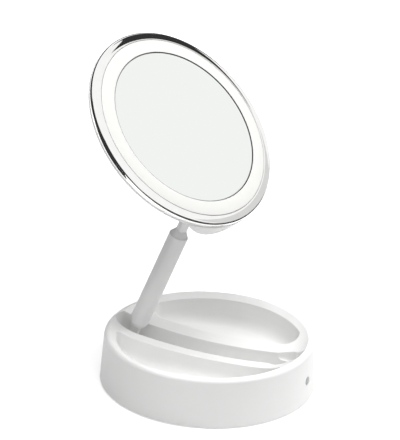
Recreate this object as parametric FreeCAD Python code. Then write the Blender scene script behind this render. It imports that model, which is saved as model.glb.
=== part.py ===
import FreeCAD, Part
import math
import os

# A folding, lighted make-up mirror. A round base holds two open trays and a channel.
# An arm hinged in the channel carries a neck that swivels, and the round mirror head
# tilts on the neck. Folded, the arm lies in the channel and the head is the base's lid.
# Frame: origin on the ground under the base's centre, +X along the channel from the
# arm's hinge to the button, +Y to the rear tray, +Z up. Sizes are in millimetres.

# Base shell
base_bottom_radius = 84.0
wall_draft = 2.4
base_height = 39.0
ground_gap = 0.8
rim_round = 3.4
wall = 2.2
rim_land = 4.4
knee_share = 0.7
knee_inset = 24.6
edge_round = 0.6

# Trays in the base
rim_width = 9.1
rear_tray_edge = 24.9
rear_tray_corner = 11.0
rear_tray_round = 9.0
front_tray_edge = 20.7
front_tray_corner = 3.2
front_tray_round = 5.0
front_tray_depth = 25.0
tray_round_share = 0.87

# Channel for the arm, with the round pocket for the tilt hinge and its square end
channel_half_width = 10.2
channel_end_wall = 2.1
channel_lift = 3.3
channel_round = 4.5
channel_corner = 5.0
pocket_radius = 12.4
pocket_offset = 1.6
pocket_depth = 15.0
pocket_round = 3.0
tab_half_width = 8.0
tab_margin = 5.1
tab_depth = 12.0
tab_corner = 1.6

# Arm and its hinge in the base
arm_radius = 7.65
arm_wall = 1.55
arm_floor_gap = 0.7
arm_top_gap = 1.6
hinge_inset = 12.4
arm_angle = 68.7
tube_start = 22.5
neck_seam = 20.5
tube_chamfer = 0.5
knuckle_half_width = 3.1
knuckle_half_thickness = 4.4
knuckle_eye_radius = 5.5
plug_length = 14.0
hinge_pin_radius = 2.5
hinge_boss_wall = 3.0
hinge_boss_length = 2.6
bush_radius = 3.6
hinge_washer = 0.34
washer_edge = 0.3
lead_radius = 1.2

# Neck: swivel stem, cone and tilt eye
swivel_angle = 27.3
neck_cone_length = 4.6
neck_cone_inset = 0.45
neck_cone_tip_radius = 4.3
stem_bush_wall = 1.6
stem_length = 19.0
bush_length = 15.5
clip_thickness = 0.9
clip_gap = 0.2
groove_depth = 0.8
tongue_half_width = 3.6
eye_half_thickness = 4.0
eye_radius = 5.2

# Tilt hinge on the head's back
hub_margin = 17.1
mirror_angle = 42.6
tilt_pin_radius = 2.0
tilt_washer = 0.5
ear_thickness = 3.2
plate_radius = 9.4
plate_thickness = 2.8
boss_proud = 1.3
rivet_radius = 3.2
rivet_thickness = 0.8
bracket_screw_reach = 5.6

# Mirror head
lid_overhang = 0.5
fold_gap = 0.7
chrome_depth = 4.2
band_inset = 0.2
band_round = 1.8
bezel_width = 7.5
bezel_thickness = 1.2
bezel_wall = 1.6
bezel_rise = 0.7
bezel_edge_round = 0.9
lip_round_share = 0.33
spigot_thickness = 2.2
light_ring_width = 11.75
glass_rise = 1.0
glass_thickness = 2.4
glass_hollow = 2.0
pad_thickness = 0.5
pad_inset = 4.0
pad_width = 18.0
carrier_thickness = 1.6
ledge_width = 2.7
diffuser_thickness = 2.0
diffuser_rise = 0.9
diffuser_crown = 0.35
trough_wall = 1.0
board_thickness = 1.0
lamp_count = 24
lamp_length = 3.5
lamp_width = 2.8
lamp_height = 0.6
lamp_gap = 0.4
post_radius = 3.2
post_inset = 15.6
post_first_angle = 45
post_count = 4
finger_drop = 9.9
finger_half_width = 27.0
finger_thickness = 1.25
finger_gap = 0.35

# Underside cover, foot ring, cells and their door
cover_recess = 0.8
cover_thickness = 2.2
foot_ring_inset = 3.6
foot_ring_width = 4.0
foot_ring_depth = 1.0
cell_radius = 5.2
cell_length = 43.3
cell_nub_radius = 1.9
cell_nub_length = 1.2
cell_count = 3
cell_pitch_gap = 0.3
bay_end_gap = 2.35
bay_wall = 1.6
bay_share = 0.04
door_thickness = 1.8
door_lap = 2.0
door_gap = 0.3
door_pin_radius = 0.7
door_pin_length = 1.6
door_notch_radius = 7.0
door_notch_depth = 1.0
contact_plate = 0.5
contact_half_width = 4.0
contact_tip_radius = 1.6
contact_foot_radius = 3.2
screw_inset = 27.5

# Button, switch and control board
button_drop = 22.0
button_radius = 3.2
button_proud = 0.3
button_flange = 1.0
button_flange_thickness = 0.9
button_stem_radius = 2.0
button_travel = 0.8
button_dome = 0.4
button_dish_depth = 0.5
button_dish_margin = 0.9
switch_size = 6.0
switch_depth = 3.5
plunger_radius = 1.6
plunger_length = 0.7
control_board_half_width = 12.0
board_margin = 1.5
board_slot_depth = 3.0
board_post_width = 4.0

# Screws
screw_radius = 1.5
screw_length = 9.0
screw_head_radius = 2.8
screw_head_height = 1.6
screw_boss_wall = 1.5
post_screw_share = 0.7

# Clearances and the overrun of every cut
running_gap = 0.05
slip_gap = 0.15
seat_gap = 0.1
side_gap = 0.05
layer_gap = 0.3
overrun = 2.0

# Places that follow from the sizes above
base_top_radius = base_bottom_radius - wall_draft
tray_radius = base_top_radius - rim_width
rim_inner_radius = base_top_radius - rim_land
knee_radius = base_top_radius - knee_inset
cover_bottom = ground_gap + cover_recess
cover_top = cover_bottom + cover_thickness
channel_floor = cover_top + channel_lift + wall
pivot_height = channel_floor + arm_floor_gap + arm_radius
bowl_bottom = pivot_height + arm_radius + arm_top_gap
knee_height = base_height - knee_share * (base_height - bowl_bottom)
front_tray_floor = base_height - front_tray_depth
pocket_floor = base_height - pocket_depth
tab_floor = base_height - tab_depth
channel_end = base_top_radius - channel_end_wall
tab_end = base_top_radius - tab_margin
pivot_x = hinge_inset - channel_end
hub_reach = tab_end - hub_margin
arm_length = hub_reach - pivot_x
channel_far_end = hub_reach + eye_radius + seat_gap + overrun
arm_bore_radius = arm_radius - arm_wall
stem_radius = arm_bore_radius - stem_bush_wall
clip_radius = arm_bore_radius - clip_gap
neck_cone_foot_radius = arm_radius - neck_cone_inset
tube_end = arm_length - neck_seam
diffuser_back = bezel_rise - bezel_thickness - layer_gap - diffuser_thickness / 2
rim_depth = wall + trough_wall + board_thickness + lamp_height + lamp_gap - diffuser_back
fold_plane = base_height + fold_gap + rim_depth
hub_depth = fold_plane - pivot_height
bezel_radius = base_bottom_radius - lid_overhang
band_radius = bezel_radius - band_inset
lip_radius = bezel_radius - bezel_width
glass_radius = lip_radius - light_ring_width
bezel_inner_radius = bezel_radius - bezel_wall
spigot_radius = bezel_inner_radius - layer_gap
rim_floor = wall - rim_depth
ear_inner = eye_half_thickness + 2 * side_gap + tilt_washer
ear_outer = ear_inner + ear_thickness
cover_draft = wall_draft * cover_top / (base_height - rim_round - ground_gap)
cover_radius = base_bottom_radius - wall - cover_draft - layer_gap
cell_pitch = 2 * cell_radius + cell_pitch_gap
cell_height = cover_bottom + door_thickness + seat_gap + cell_radius
rear_tray_floor = cell_height + cell_radius + 2 * seat_gap + wall
bay_depth = cell_count * cell_pitch
bay_front = rear_tray_edge + bay_share * (tray_radius - rear_tray_edge - bay_depth)
bay_half_length = (cell_length + cell_nub_length) / 2 + bay_end_gap
screw_reach_x = tray_radius - screw_inset
button_height = base_height - button_drop
control_board_top = button_height + switch_size / 2 + board_margin

X_AXIS = FreeCAD.Vector(1, 0, 0)
Y_AXIS = FreeCAD.Vector(0, 1, 0)
Z_AXIS = FreeCAD.Vector(0, 0, 1)
ORIGIN = FreeCAD.Vector(0, 0, 0)
FULL_TURN = 360
HALF_TURN = 180


def at(x, y, z):
    return FreeCAD.Vector(x, y, z)


def rz(radius, height):
    """A point of a turned profile, at a radius and a height."""
    return FreeCAD.Vector(radius, 0, height)


def line(start, end):
    return Part.LineSegment(start, end).toShape()


def path(points):
    """Straight edges through the points in order."""
    return [line(points[i], points[i + 1]) for i in range(len(points) - 1)]


def tangent_arc(start, direction, end):
    """The arc that leaves start along direction and arrives at end."""
    chord = end - start
    normal = FreeCAD.Vector(-direction.z, 0, direction.x)
    radius = chord.dot(chord) / (2 * chord.dot(normal))
    centre = start + normal * radius
    outward = (start + end) * 0.5 - centre
    outward.normalize()
    return Part.Arc(start, centre + outward * abs(radius), end).toShape()


def corner_arc(start, corner, end):
    """A quarter round from start to end that hugs the corner."""
    centre = start + end - corner
    outward = corner - centre
    outward.normalize()
    return Part.Arc(start, centre + outward * (start - centre).Length, end).toShape()


def turned(edges):
    """A solid of revolution about Z from a closed chain of edges."""
    outline = Part.Wire(Part.sortEdges(edges)[0])
    return Part.Face(outline).revolve(ORIGIN, Z_AXIS, FULL_TURN)


def turned_polygon(points):
    return turned(path(points + points[:1]))


def ring(outer, inner, low, high):
    """A plain ring about Z between two heights."""
    return turned_polygon([rz(inner, low), rz(outer, low), rz(outer, high), rz(inner, high)])


def rod(radius, start, length, direction):
    return Part.makeCylinder(radius, length, start, direction)


def block(low, high):
    size = high - low
    return Part.makeBox(size.x, size.y, size.z, low)


def fused(shapes):
    whole = shapes[0].fuse(shapes[1:])
    return whole.removeSplitter()


def upright_edges(shape, x_from):
    """The straight vertical edges of a shape beyond a given x."""
    found = []
    for edge in shape.Edges:
        box = edge.BoundBox
        if box.XLength + box.YLength < side_gap and box.XMin > x_from:
            found.append(edge)
    return found


def floor_edges(shape):
    """The edges round the lowest flat face of a shape."""
    lowest = shape.BoundBox.ZMin
    return [edge for edge in shape.Edges if edge.BoundBox.ZMax < lowest + side_gap]


# Shape of the base's top, shared with the head's domed back


def bowl_circle():
    """Radius of the bowl's central sphere and the slope angle at its knee."""
    rise = knee_height - bowl_bottom
    radius = (knee_radius ** 2 + rise ** 2) / (2 * rise)
    return radius, math.asin(knee_radius / radius)


def bowl_edges(lift, trim):
    """Profile of the bowl from the axis to the rim, lifted and trimmed at the rim."""
    radius, slope = bowl_circle()
    half = knee_radius / 2
    middle_height = bowl_bottom + radius - math.sqrt(radius ** 2 - half ** 2)
    centre = rz(0, bowl_bottom + lift)
    knee = rz(knee_radius, knee_height + lift)
    rim = rz(rim_inner_radius - trim, base_height + lift)
    first = Part.Arc(centre, rz(half, middle_height + lift), knee).toShape()
    second = tangent_arc(knee, rz(math.cos(slope), math.sin(slope)), rim)
    return [first, second], centre, rim


def tray_hollow(edge, floor, corner, rounding, grow):
    """An open tray: a disc cut off along a straight edge, with rounded corners and floor."""
    low = floor - grow
    height = base_height + overrun - low
    reach = tray_radius + grow
    disc = rod(reach, at(0, 0, low), height, Z_AXIS)
    half_plane = block(at(-reach, edge - grow, low), at(reach, reach, low + height))
    hollow = disc.common(half_plane)
    hollow = hollow.makeFillet(corner + grow, upright_edges(hollow, -reach))
    rounding = min(rounding, tray_round_share * (bowl_bottom - floor))
    return hollow.makeFillet(rounding + grow, floor_edges(hollow))


def rear_tray(grow):
    return tray_hollow(rear_tray_edge, rear_tray_floor, rear_tray_corner, rear_tray_round, grow)


def front_tray(grow):
    hollow = tray_hollow(front_tray_edge, front_tray_floor, front_tray_corner, front_tray_round, grow)
    hollow.rotate(ORIGIN, Z_AXIS, HALF_TURN)
    return hollow


def channel(grow):
    """The arm's channel, round at the hinge end, with the tilt hinge's pocket and its end."""
    low = channel_floor - grow
    top = base_height + overrun
    half = channel_half_width + grow
    left = channel_half_width - channel_end
    round_end = rod(half, at(left, 0, low), top - low, Z_AXIS)
    run = block(at(left, -half, low), at(channel_far_end + grow, half, top))
    deep = fused([round_end, run])
    deep = deep.makeFillet(channel_corner + grow, upright_edges(deep, 0))
    deep = deep.makeFillet(channel_round + grow, floor_edges(deep))
    pocket_low = pocket_floor - grow
    pocket_foot = at(hub_reach + pocket_offset, 0, pocket_low)
    pocket = rod(pocket_radius + grow, pocket_foot, top - pocket_low, Z_AXIS)
    pocket = pocket.makeFillet(pocket_round + grow, floor_edges(pocket))
    tab_half = tab_half_width + grow
    tab = block(at(hub_reach, -tab_half, tab_floor - grow), at(tab_end + grow, tab_half, top))
    tab = tab.makeFillet(tab_corner + grow, upright_edges(tab, hub_reach + overrun))
    tab = tab.makeFillet(tab_corner + grow, floor_edges(tab))
    return [deep, pocket, tab]


def screw_places():
    """Where the underside cover is screwed to the base, under the two ridges."""
    rear = (channel_half_width + rear_tray_edge) / 2
    front = (channel_half_width + front_tray_edge) / 2
    return [at(x, y, 0) for x in (-screw_reach_x, screw_reach_x) for y in (-front, rear)]


def top_height(radius):
    """Height of the base's top surface at a radius from its centre."""
    sphere, slope = bowl_circle()
    if radius <= knee_radius:
        return bowl_bottom + sphere - math.sqrt(sphere ** 2 - radius ** 2)
    if radius <= rim_inner_radius:
        across = rim_inner_radius - knee_radius
        up = base_height - knee_height
        normal = across * -math.sin(slope) + up * math.cos(slope)
        arc = (across ** 2 + up ** 2) / (2 * normal)
        centre_r = knee_radius - arc * math.sin(slope)
        centre_z = knee_height + arc * math.cos(slope)
        return centre_z - math.sqrt(arc ** 2 - (radius - centre_r) ** 2)
    flat = base_top_radius - rim_round
    if radius <= flat:
        return base_height
    return base_height - rim_round + math.sqrt(max(rim_round ** 2 - (radius - flat) ** 2, 0))


def mouth_edges(shape, hollows):
    """The edges where the hollows' walls break through the base's top."""
    walls = [hollow.Shells[0] for hollow in hollows]
    found = []
    for edge in shape.Edges:
        point = edge.valueAt((edge.FirstParameter + edge.LastParameter) / 2)
        on_top = abs(point.z - top_height(math.hypot(point.x, point.y))) < side_gap
        spot = Part.Vertex(point)
        if on_top and min(spot.distToShape(wall)[0] for wall in walls) < side_gap:
            found.append(edge)
    return found


def tray_body():
    """The moulded base: a drafted round wall under a bowl-shaped top with trays and channel."""
    bowl, centre, rim = bowl_edges(0, 0)
    shoulder = base_height - rim_round
    outside = path([
        centre,
        rz(0, ground_gap),
        rz(base_bottom_radius, ground_gap),
        rz(base_top_radius, shoulder),
    ])
    land = rz(base_top_radius - rim_round, base_height)
    crown = corner_arc(rz(base_top_radius, shoulder), rz(base_top_radius, base_height), land)
    body = turned(outside + [crown, line(land, rim)] + bowl)
    hollows = [rear_tray(0), front_tray(0)] + channel(0)
    body = body.cut(hollows)

    under, under_centre, under_rim = bowl_edges(-wall, wall)
    inside = path([
        under_centre,
        rz(0, ground_gap - overrun),
        rz(base_bottom_radius - wall, ground_gap - overrun),
        rz(base_bottom_radius - wall, ground_gap),
        rz(base_top_radius - wall, shoulder),
        under_rim,
    ])
    void = turned(inside + under)
    kept = [rear_tray(wall), front_tray(wall)] + channel(wall)
    boss_reach = channel_half_width + wall + hinge_boss_length
    boss_radius = hinge_pin_radius + hinge_boss_wall
    kept.append(rod(boss_radius, at(pivot_x, -boss_reach, pivot_height), 2 * boss_reach, Y_AXIS))
    for place in screw_places():
        kept.append(rod(screw_radius + screw_boss_wall, place + Z_AXIS * cover_top, base_height, Z_AXIS))
    void = void.cut(kept)
    body = body.cut(void)

    pin_hole = rod(hinge_pin_radius + running_gap, at(pivot_x, -boss_reach - overrun, pivot_height),
                   2 * (boss_reach + overrun), Y_AXIS)
    button_hole = rod(button_radius + slip_gap, at(channel_far_end + wall, 0, button_height),
                      base_bottom_radius, X_AXIS)
    dish_radius = button_radius + button_dish_margin
    dish_foot = at(button_face() - button_dish_depth, 0, button_height)
    button_dish = rod(dish_radius, dish_foot, overrun * 2, X_AXIS)
    drilled = [pin_hole, button_hole, button_dish]
    for place in screw_places():
        drilled.append(rod(screw_radius + running_gap, place + Z_AXIS * (cover_top - overrun),
                           screw_length, Z_AXIS))
    body = body.cut(drilled)
    return body.makeFillet(edge_round, mouth_edges(body, hollows))


def wall_radius(height):
    """Outer radius of the base's drafted wall at a height."""
    drop = (height - ground_gap) / (base_height - rim_round - ground_gap)
    return base_bottom_radius - wall_draft * drop


def button_face():
    """Distance from the base's axis to the wall where the button comes through."""
    return wall_radius(button_height)


# Pieces of the underside


def door_half_length():
    return bay_half_length + door_lap


def door_hinge():
    """Height and y of the door's hinge line, in the middle of its plate."""
    return bay_front - door_lap + door_thickness / 2, cover_bottom + door_thickness / 2


def base_cover():
    """Underside disc with the cells' bay, the foot ring's groove and the board's posts."""
    cover = rod(cover_radius, at(0, 0, cover_bottom), cover_thickness, Z_AXIS)
    front = bay_front - bay_wall
    back = bay_front + bay_depth + bay_wall
    bay_top = rear_tray_floor - wall - seat_gap
    half = bay_half_length + bay_wall
    adds = [block(at(-half, front, cover_top - side_gap), at(half, back, bay_top))]
    board_back = control_board_back()
    for side in (-1, 1):
        middle = side * (control_board_half_width - board_post_width / 2)
        low = at(board_back - wall, middle - board_post_width / 2, cover_top - side_gap)
        high = at(board_back + board_thickness + wall, middle + board_post_width / 2,
                  cover_top + board_slot_depth)
        adds.append(block(low, high))
    cover = fused([cover] + adds)

    hinge_y, hinge_z = door_hinge()
    lap_half = door_half_length() + door_gap
    opening = block(at(-lap_half, bay_front - door_lap - door_gap, cover_bottom - overrun),
                    at(lap_half, bay_front + bay_depth + door_lap + door_gap,
                       cover_bottom + door_thickness + seat_gap))
    bay = block(at(-bay_half_length, bay_front, cover_bottom),
                at(bay_half_length, bay_front + bay_depth, bay_top + overrun))
    pin_hole = rod(door_pin_radius + running_gap, at(-lap_half - door_pin_length, hinge_y, hinge_z),
                   2 * (lap_half + door_pin_length), X_AXIS)
    groove_outer = cover_radius - foot_ring_inset + foot_ring_width / 2 + layer_gap
    groove = ring(groove_outer, groove_outer - foot_ring_width - 2 * layer_gap,
                  cover_bottom - overrun, cover_bottom + foot_ring_depth)
    slot = block(at(board_back - side_gap, -control_board_half_width - side_gap, cover_top),
                 at(board_back + board_thickness + side_gap, control_board_half_width + side_gap,
                    cover_top + board_slot_depth + overrun))
    cuts = [opening, bay, pin_hole, groove, slot]
    for place in screw_places():
        cuts.append(rod(screw_radius + slip_gap, place, cover_top + overrun, Z_AXIS))
        cuts.append(rod(screw_head_radius + slip_gap, place, cover_bottom + screw_head_height, Z_AXIS))
    return cover.cut(cuts)


def foot_ring():
    """Soft ring that the mirror stands on, seated in the cover's groove."""
    outer = cover_radius - foot_ring_inset + foot_ring_width / 2
    return ring(outer, outer - foot_ring_width, 0, cover_bottom + foot_ring_depth)


def battery_door():
    """Hinged door over the cells, with pins at one edge and a finger notch at the other."""
    hinge_y, hinge_z = door_hinge()
    half = door_half_length()
    back = bay_front + bay_depth + door_lap
    plate = block(at(-half, hinge_y, cover_bottom), at(half, back, cover_bottom + door_thickness))
    edge = rod(door_thickness / 2, at(-half, hinge_y, hinge_z), 2 * half, X_AXIS)
    reach = half + door_gap + door_pin_length - side_gap
    pins = rod(door_pin_radius, at(-reach, hinge_y, hinge_z), 2 * reach, X_AXIS)
    door = fused([plate, edge, pins])
    notch = rod(door_notch_radius, at(0, back + door_notch_radius / 2, cover_bottom - overrun),
                overrun + door_notch_depth, Z_AXIS)
    return door.cut(notch)


def cover_screws():
    """Screws that hold the underside cover, their heads sunk into it."""
    return [screw(place + Z_AXIS * cover_bottom, Z_AXIS, screw_length) for place in screw_places()]


def screw(seat, direction, length):
    """A round-head screw whose head starts at seat and whose shank points along direction."""
    head = rod(screw_head_radius, seat, screw_head_height, direction)
    shank = rod(screw_radius, seat, length, direction)
    return fused([head, shank])


def cells():
    """The row of cylindrical cells, turned end for end in alternation."""
    found = []
    for index in range(cell_count):
        y = bay_front + cell_pitch * (index + 0.5)
        half = (cell_length + cell_nub_length) / 2
        can = rod(cell_radius, at(-half, y, cell_height), cell_length, X_AXIS)
        nub = rod(cell_nub_radius, at(half - cell_nub_length, y, cell_height), cell_nub_length, X_AXIS)
        cell = fused([can, nub])
        if index % 2:
            cell.rotate(at(0, y, cell_height), Z_AXIS, HALF_TURN)
        found.append(cell)
    return found


def battery_contacts():
    """A sprung contact at each end of each cell."""
    found = []
    for index in range(cell_count):
        y = bay_front + cell_pitch * (index + 0.5)
        for side in (-1, 1):
            wall_x = side * bay_half_length
            inner_x = wall_x - side * contact_plate
            half = contact_half_width
            plate = block(at(min(wall_x, inner_x), y - half, cell_height - half),
                          at(max(wall_x, inner_x), y + half, cell_height + half))
            reach = bay_end_gap - contact_plate - side_gap
            tip = Part.makeCone(contact_foot_radius, contact_tip_radius, reach,
                                at(inner_x, y, cell_height), X_AXIS * -side)
            found.append(fused([plate, tip]))
    return found


# Button and electronics


def button_inner():
    """Front of the button's flange, inside the wall."""
    reach = button_radius + button_flange
    inner = wall_radius(button_height + reach) - wall
    return math.sqrt(inner ** 2 - reach ** 2) - seat_gap


def control_board_back():
    """Rear face of the control board, set back from the button by the switch."""
    front = button_inner() - button_flange_thickness - slip_gap
    return front - button_travel - seat_gap - plunger_length - switch_depth - board_thickness


def power_button():
    """Round push button with a slightly domed face and a flange that keeps it in the wall."""
    inner = button_inner()
    face = button_face() + button_proud - button_dome
    cap = rod(button_radius, at(inner - button_flange_thickness, 0, button_height),
              face - inner + button_flange_thickness, X_AXIS)
    sphere = (button_radius ** 2 + button_dome ** 2) / (2 * button_dome)
    dome = Part.makeSphere(sphere, at(face + button_dome - sphere, 0, button_height))
    dome = dome.common(rod(button_radius, at(face, 0, button_height), button_dome * 2, X_AXIS))
    flange = rod(button_radius + button_flange, at(inner - button_flange_thickness, 0, button_height),
                 button_flange_thickness, X_AXIS)
    stem = rod(button_stem_radius, at(inner - button_flange_thickness - slip_gap, 0, button_height),
               button_flange_thickness, X_AXIS)
    return fused([cap, dome, flange, stem])


def tact_switch():
    """The switch behind the button, on the control board."""
    front = control_board_back() + board_thickness
    half = switch_size / 2
    case = block(at(front, -half, button_height - half),
                 at(front + switch_depth, half, button_height + half))
    plunger = rod(plunger_radius, at(front + switch_depth, 0, button_height), plunger_length, X_AXIS)
    return fused([case, plunger])


def control_board():
    """The lamp driver's board, standing in the cover's posts."""
    back = control_board_back()
    low = at(back, -control_board_half_width, cover_top)
    high = at(back + board_thickness, control_board_half_width, control_board_top)
    return block(low, high)


# Arm, in its own frame: origin on the hinge pin, +Z along the arm, +Y along the pin


def arm_place():
    along = at(math.cos(math.radians(arm_angle)), 0, math.sin(math.radians(arm_angle)))
    turn = FreeCAD.Rotation(Y_AXIS.cross(along), Y_AXIS, along, "ZYX")
    return FreeCAD.Placement(at(pivot_x, 0, pivot_height), turn)


def hinge_pin():
    reach = channel_half_width + wall + hinge_boss_length
    return rod(hinge_pin_radius, at(pivot_x, -reach, pivot_height), 2 * reach, Y_AXIS)


def hinge_bushes():
    """Spacers on the pin that keep the arm in the middle of the channel."""
    start = knuckle_half_thickness + hinge_washer + 2 * side_gap
    far = bush_radius + max(channel_half_width - hinge_inset, 0)
    length = math.sqrt(channel_half_width ** 2 - far ** 2) - slip_gap - start
    found = []
    for side in (-1, 1):
        foot = at(pivot_x, side * start, pivot_height)
        bush = rod(bush_radius, foot, length, Y_AXIS * side)
        found.append(bush.cut(rod(hinge_pin_radius + running_gap, foot, length, Y_AXIS * side)))
    return found


def hinge_washers():
    """Friction washers between the arm's knuckle and the spacers."""
    found = []
    for side in (-1, 1):
        foot = at(pivot_x, side * (knuckle_half_thickness + side_gap), pivot_height)
        disc = rod(knuckle_eye_radius - washer_edge, foot, hinge_washer, Y_AXIS * side)
        found.append(disc.cut(rod(hinge_pin_radius + running_gap, foot, hinge_washer, Y_AXIS * side)))
    return found


def arm_tube():
    """The straight arm, a tube with a chamfered top end."""
    return turned_polygon([
        rz(arm_bore_radius, tube_start),
        rz(arm_radius, tube_start),
        rz(arm_radius, tube_end - tube_chamfer),
        rz(arm_radius - tube_chamfer / 2, tube_end),
        rz(arm_bore_radius, tube_end),
    ])


def arm_knuckle():
    """Plug in the arm's lower end, with a rounded shoulder, a tongue and the hinge eye."""
    shoulder_foot = tube_start - arm_radius
    dome = Part.Arc(rz(0, shoulder_foot), rz(arm_radius * math.sin(math.pi / 4),
                    tube_start - arm_radius * math.cos(math.pi / 4)), rz(arm_radius, tube_start)).toShape()
    plug_radius = arm_bore_radius - running_gap
    plug_end = tube_start + plug_length
    rest = path([rz(arm_radius, tube_start), rz(plug_radius, tube_start), rz(plug_radius, plug_end),
                 rz(0, plug_end), rz(0, shoulder_foot)])
    body = turned([dome] + rest)
    tongue = block(at(-knuckle_half_width, -knuckle_half_thickness, 0),
                   at(knuckle_half_width, knuckle_half_thickness, tube_start))
    eye = rod(knuckle_eye_radius, at(0, -knuckle_half_thickness, 0), 2 * knuckle_half_thickness, Y_AXIS)
    body = fused([body, tongue, eye])
    bore = rod(lead_radius + seat_gap, at(0, 0, shoulder_foot), plug_end, Z_AXIS)
    pin = rod(hinge_pin_radius + running_gap, at(0, -arm_radius, 0), 2 * arm_radius, Y_AXIS)
    return body.cut([bore, pin])


def arm_lead():
    """The lamp lead's stretch inside the arm."""
    start = tube_start - arm_radius
    return rod(lead_radius, at(0, 0, start), tube_end - stem_length - start - seat_gap, Z_AXIS)


def neck_bush():
    """Bearing in the arm's upper end that the neck's stem turns in."""
    return ring(arm_bore_radius - running_gap, stem_radius + running_gap,
                tube_end - bush_length, tube_end - side_gap)


# Neck, in the arm's frame before it is turned about the arm


def neck_place():
    swivel = FreeCAD.Rotation(Z_AXIS, -swivel_angle)
    return arm_place().multiply(FreeCAD.Placement(ORIGIN, swivel))


def neck():
    """Swivelling neck: stem in the bush, cone above the seam, and the flat tilt eye."""
    low = tube_end - stem_length
    cone_top = tube_end + neck_cone_length
    groove_high = tube_end - bush_length - seat_gap
    groove_low = groove_high - clip_thickness
    groove_radius = stem_radius - groove_depth
    body = turned_polygon([
        rz(lead_radius + seat_gap, low),
        rz(stem_radius, low),
        rz(stem_radius, groove_low - side_gap),
        rz(groove_radius, groove_low - side_gap),
        rz(groove_radius, groove_high + side_gap),
        rz(stem_radius, groove_high + side_gap),
        rz(stem_radius, tube_end + side_gap),
        rz(neck_cone_foot_radius, tube_end + side_gap),
        rz(neck_cone_tip_radius, cone_top),
        rz(lead_radius + seat_gap, cone_top),
    ])
    tongue = block(at(-tongue_half_width, -eye_half_thickness, cone_top - neck_cone_length / 2),
                   at(tongue_half_width, eye_half_thickness, arm_length))
    tongue = tongue.common(rod(neck_cone_tip_radius, at(0, 0, tube_end), arm_length, Z_AXIS))
    eye = rod(eye_radius, at(0, -eye_half_thickness, arm_length), 2 * eye_half_thickness, Y_AXIS)
    body = fused([body, tongue, eye])
    pin = rod(tilt_pin_radius + running_gap, at(0, -arm_radius, arm_length), 2 * arm_radius, Y_AXIS)
    return body.cut(pin)


def neck_clip():
    """Spring clip in the stem's groove that keeps the neck in the arm."""
    high = tube_end - bush_length - seat_gap
    low = high - clip_thickness
    clip = ring(clip_radius, stem_radius - groove_depth + side_gap, low, high)
    mouth = stem_radius - groove_depth
    gap = block(at(0, -mouth, low - overrun), at(arm_radius, mouth, high + overrun))
    return clip.cut(gap)


# Head, in its own frame: origin in the bezel's front plane, +Z out of the mirror,
# +X from the tilt hinge towards the mirror's centre


def head_place():
    """Place of the head: the tilt hinge on the neck's eye, the mirror facing forwards."""
    lean = math.radians(mirror_angle)
    front = at(math.cos(lean), 0, math.sin(lean))
    upward = at(-math.sin(lean), 0, math.cos(lean))
    along = arm_place().Rotation.multVec(Z_AXIS)
    swivel = FreeCAD.Rotation(along, -swivel_angle)
    front = swivel.multVec(front)
    upward = swivel.multVec(upward)
    turn = FreeCAD.Rotation(upward, front.cross(upward), front, "ZXY")
    hub = arm_place().multVec(at(0, 0, arm_length))
    return FreeCAD.Placement(hub + upward * hub_reach + front * hub_depth, turn)


def dome_edges(inward):
    """Profile of the head's domed back, which nests in the base's bowl when folded."""
    return bowl_edges(fold_gap - fold_plane + inward, fold_gap + inward)


def bracket_face():
    """Depth of the flat land on the dome where the tilt bracket is screwed on."""
    near = hub_reach - plate_radius
    return top_height(near) + fold_gap - fold_plane - boss_proud / 2


def bracket_seat():
    """Depth of the land inside the dome, which is narrower inside, for the bracket's screw heads."""
    far = hub_reach + bracket_screw_reach + screw_head_radius + fold_gap + 2 * wall
    return top_height(far) + fold_gap - fold_plane + wall


def bracket_screw_places():
    return [at(side * bracket_screw_reach - hub_reach, 0, 0) for side in (-1, 1)]


def post_places():
    """Where the carrier's posts stand, and the housing's screws go in."""
    reach = glass_radius - post_inset
    turns = [math.radians(post_first_angle + FULL_TURN * index / post_count) for index in range(post_count)]
    return [at(reach * math.cos(turn), reach * math.sin(turn), 0) for turn in turns]


def post_foot():
    """Depth of the seat for the housing's screw heads."""
    reach = glass_radius - post_inset - screw_head_radius
    return top_height(reach) + fold_gap - fold_plane + screw_head_height


def finger_lip():
    """Tapered lip below the tilt hinge; it overhangs the base's wall to lift the folded head by."""
    low = -rim_depth - finger_drop
    inner = wall_radius(fold_plane + low) + finger_gap
    band = ring(inner + finger_thickness, inner, low, band_round - rim_depth)
    arc = (finger_half_width ** 2 + finger_drop ** 2) / (2 * finger_drop)
    sweep = rod(arc, at(-bezel_radius - overrun, 0, low + arc), bezel_radius, X_AXIS)
    return band.common(sweep)


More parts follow.
